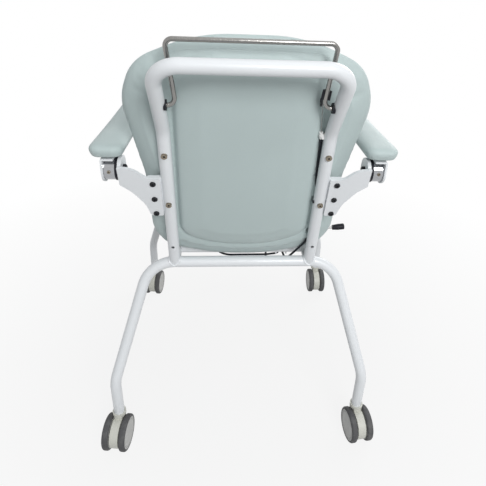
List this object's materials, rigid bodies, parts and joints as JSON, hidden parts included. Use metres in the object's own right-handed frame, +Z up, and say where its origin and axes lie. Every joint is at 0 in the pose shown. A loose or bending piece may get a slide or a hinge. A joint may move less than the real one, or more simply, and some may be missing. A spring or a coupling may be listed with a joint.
{
  "type": "utility chair",
  "caption": "Wheeled clinic treatment chair: tube frame on swivel castors, padded seat and back, lift-up armrests, push handle with release bail, swing-out legrest on a gas spring.",
  "frame": {"origin": "on the floor, at the middle of the chair's bounding box", "axes": "+Z up from the floor, +Y towards the push handle at the rear, +X towards the occupant's left"},
  "size_m": [0.7934, 0.8674, 1.181],
  "materials": {
    "frame_paint": "satin white powder coat",
    "bracket_paint": "satin white powder coat",
    "vinyl": "soft sage green vinyl",
    "plywood": "raw plywood",
    "bolt_steel": "zinc plated",
    "black_steel": "black finish",
    "sleeve_chrome": "polished",
    "pin_steel": "zinc plated",
    "stainless": "polished stainless",
    "black_plastic": "moulded",
    "white_plastic": "moulded",
    "cable_sheath": "extruded sheath",
    "castor_cream": "moulded",
    "castor_grey": "moulded",
    "castor_tyre": "moulded grey rubber"
  },
  "bodies": {
    "frame": {"rear_leg_frame": "frame_paint", "front_leg_frame": "frame_paint", "side_rail_left": "frame_paint", "side_rail_right": "frame_paint", "gas_spring_cross_tube": "frame_paint", "back_upright_frame": "frame_paint", "back_board": "plywood", "back_rear_cover": "vinyl", "back_cushion": "vinyl", "back_bolts": "bolt_steel", "seat_board": "plywood", "seat_cushion": "vinyl", "seat_screws": "bolt_steel", "armrest_bracket_left": "bracket_paint", "armrest_bracket_right": "bracket_paint", "armrest_bracket_bolts": "black_steel", "armrest_pivot_bolts": "black_steel", "armrest_friction_discs": "black_plastic", "bail_bushes": "black_plastic", "cable_adjuster": "white_plastic", "bail_cable": "cable_sheath", "lever_cable": "cable_sheath", "cable_clip": "black_plastic", "cable_tie": "black_plastic", "lever_bracket": "black_steel", "gas_spring_rod": "sleeve_chrome", "gas_spring_head": "pin_steel", "gas_spring_rear_pin": "pin_steel", "legrest_hinge_pins": "pin_steel", "castor_stems": "pin_steel"},
    "armrest_left": {"armrest_sleeve_left": "sleeve_chrome", "armrest_carrier_left": "bracket_paint", "armrest_base_left": "black_plastic", "armrest_pad_left": "vinyl"},
    "armrest_right": {"armrest_sleeve_right": "sleeve_chrome", "armrest_carrier_right": "bracket_paint", "armrest_base_right": "black_plastic", "armrest_pad_right": "vinyl"},
    "bail": {"release_bail": "stainless", "cable_crank": "black_plastic"},
    "bail_wire": {"inner_cable": "stainless"},
    "lever": {"side_lever": "pin_steel", "lever_knob": "black_plastic"},
    "spring_cylinder": {"gas_spring_cylinder": "black_steel"},
    "legrest": {"legrest_frame": "bracket_paint", "legrest_board": "plywood", "legrest_cushion": "vinyl", "gas_spring_front_pin": "pin_steel"},
    "castor_rear_left": {"castor_housing_rear_left": "castor_cream"},
    "wheels_rear_left": {"castor_hubs_rear_left": "castor_grey", "castor_tyres_rear_left": "castor_tyre"},
    "castor_rear_right": {"castor_housing_rear_right": "castor_cream"},
    "wheels_rear_right": {"castor_hubs_rear_right": "castor_grey", "castor_tyres_rear_right": "castor_tyre"},
    "castor_front_left": {"castor_housing_front_left": "castor_cream"},
    "wheels_front_left": {"castor_hubs_front_left": "castor_grey", "castor_tyres_front_left": "castor_tyre"},
    "castor_front_right": {"castor_housing_front_right": "castor_cream"},
    "wheels_front_right": {"castor_hubs_front_right": "castor_grey", "castor_tyres_front_right": "castor_tyre"}
  },
  "joints": [
    {"name": "armrest_raise_left", "type": "hinge", "parent": "frame", "child": "armrest_left", "pos_m": [0.31, 0.2603, 0.87077], "axis": [-1, 0, 0], "range_deg": [0, 90]},
    {"name": "armrest_raise_right", "type": "hinge", "parent": "frame", "child": "armrest_right", "pos_m": [-0.31, 0.2603, 0.87077], "axis": [-1, 0, 0], "range_deg": [0, 90]},
    {"name": "bail_press", "type": "hinge", "parent": "frame", "child": "bail", "pos_m": [0, 0.35431, 1.04509], "axis": [-1, 0, 0], "range_deg": [0, 16], "stiffness_Nm_per_rad": 1, "springref_deg": -28.65},
    {"name": "bail_wire_pull", "type": "slide", "parent": "frame", "child": "bail_wire", "axis": [0.1314, 0.4315, 0.8925], "range_m": [0, 0.00503]},
    {"name": "lever_lift", "type": "hinge", "parent": "frame", "child": "lever", "pos_m": [-0.222, 0.02452, 0.561], "axis": [0, 1, 0], "range_deg": [0, 18], "stiffness_Nm_per_rad": 0.6, "springref_deg": -20.05},
    {"name": "legrest_raise", "type": "hinge", "parent": "frame", "child": "legrest", "pos_m": [0, -0.34548, 0.552], "axis": [-1, 0, 0], "range_deg": [0, 70]},
    {"name": "spring_extend", "type": "slide", "parent": "frame", "child": "spring_cylinder", "axis": [0, -0.9962, -0.0872], "range_m": [0, 0.05506]},
    {"name": "castor_swivel_rear_left", "type": "hinge", "parent": "frame", "child": "castor_rear_left", "pos_m": [0.355, 0.29732, 0.105], "axis": [0, 0, 1], "continuous": true},
    {"name": "wheel_roll_rear_left", "type": "hinge", "parent": "castor_rear_left", "child": "wheels_rear_left", "pos_m": [0.35805, 0.32214, 0.05], "axis": [0.9925, -0.1219, 0], "continuous": true},
    {"name": "castor_swivel_rear_right", "type": "hinge", "parent": "frame", "child": "castor_rear_right", "pos_m": [-0.355, 0.29732, 0.105], "axis": [0, 0, 1], "continuous": true},
    {"name": "wheel_roll_rear_right", "type": "hinge", "parent": "castor_rear_right", "child": "wheels_rear_right", "pos_m": [-0.35805, 0.32214, 0.05], "axis": [0.9925, 0.1219, 0], "continuous": true},
    {"name": "castor_swivel_front_left", "type": "hinge", "parent": "frame", "child": "castor_front_left", "pos_m": [0.355, -0.40548, 0.105], "axis": [0, 0, 1], "continuous": true},
    {"name": "wheel_roll_front_left", "type": "hinge", "parent": "castor_front_left", "child": "wheels_front_left", "pos_m": [0.35805, -0.38066, 0.05], "axis": [0.9925, -0.1219, 0], "continuous": true},
    {"name": "castor_swivel_front_right", "type": "hinge", "parent": "frame", "child": "castor_front_right", "pos_m": [-0.355, -0.40548, 0.105], "axis": [0, 0, 1], "continuous": true},
    {"name": "wheel_roll_front_right", "type": "hinge", "parent": "castor_front_right", "child": "wheels_front_right", "pos_m": [-0.355, -0.38048, 0.05], "axis": [1, 0, 0], "continuous": true}
  ],
  "couplings": [
    {"joint": "bail_wire_pull", "follows": "bail_press", "m_per_rad": 0.018},
    {"joint": "spring_extend", "follows": "legrest_raise", "m_per_rad": 0.04507}
  ]
}
